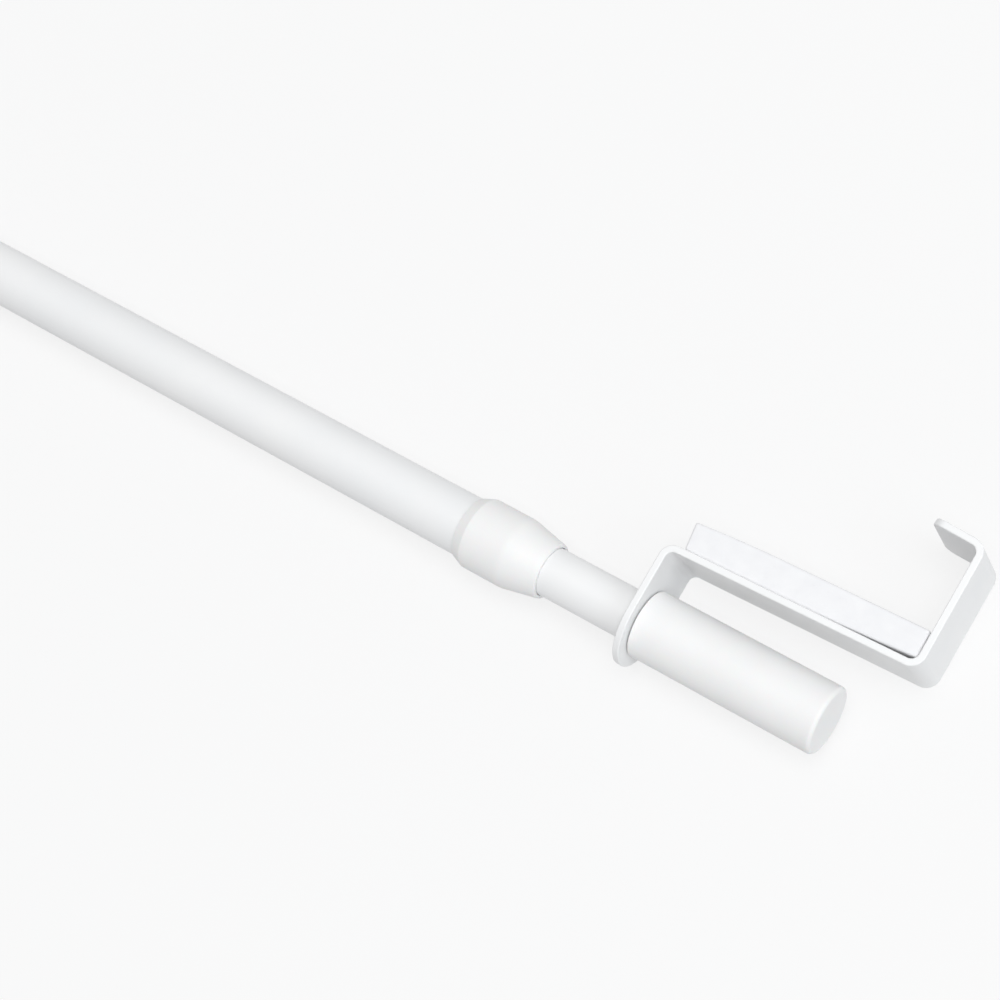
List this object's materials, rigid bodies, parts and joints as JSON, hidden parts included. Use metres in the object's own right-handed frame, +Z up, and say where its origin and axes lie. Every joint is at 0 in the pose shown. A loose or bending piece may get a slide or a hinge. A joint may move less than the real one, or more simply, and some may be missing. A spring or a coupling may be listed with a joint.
{
  "type": "spring tension rod",
  "caption": "White telescoping curtain rod with a pull spring inside and a padded flat-steel hook bracket turning on each end, to clip around a window sash.",
  "frame": {"origin": "on the rod's axis, halfway along the outer tube", "axes": "+X along the rod toward the sliding inner tube, +Y toward the hooks and the window sash, +Z up across the bracket strip"},
  "size_m": [0.4514, 0.065, 0.024],
  "materials": {
    "white_paint": "gloss",
    "white_plastic": "satin",
    "plain_plastic": "matte",
    "spring_steel": "satin",
    "white_foam": "matte"
  },
  "bodies": {
    "rod": {"outer_tube": "white_paint", "guide_collar": "white_plastic", "end_plug": "white_plastic", "left_end_cap": "white_plastic", "tension_spring": "spring_steel"},
    "slider": {"inner_tube": "white_paint", "slider_plug": "plain_plastic", "right_end_cap": "white_plastic"},
    "right_hook": {"right_bracket": "white_paint", "right_pad": "white_foam"},
    "left_hook": {"left_bracket": "white_paint", "left_pad": "white_foam"}
  },
  "joints": [
    {"name": "rod_extend", "type": "slide", "parent": "rod", "child": "slider", "axis": [1, 0, 0], "range_m": [0, 0.1], "stiffness_N_per_m": 155, "springref_m": -0.08, "deforming": ["tension_spring"]},
    {"name": "right_bracket_turn", "type": "hinge", "parent": "slider", "child": "right_hook", "pos_m": [0.1701, 0, 0], "axis": [1, 0, 0], "continuous": true},
    {"name": "left_bracket_turn", "type": "hinge", "parent": "rod", "child": "left_hook", "pos_m": [-0.1459, 0, 0], "axis": [1, 0, 0], "continuous": true}
  ]
}
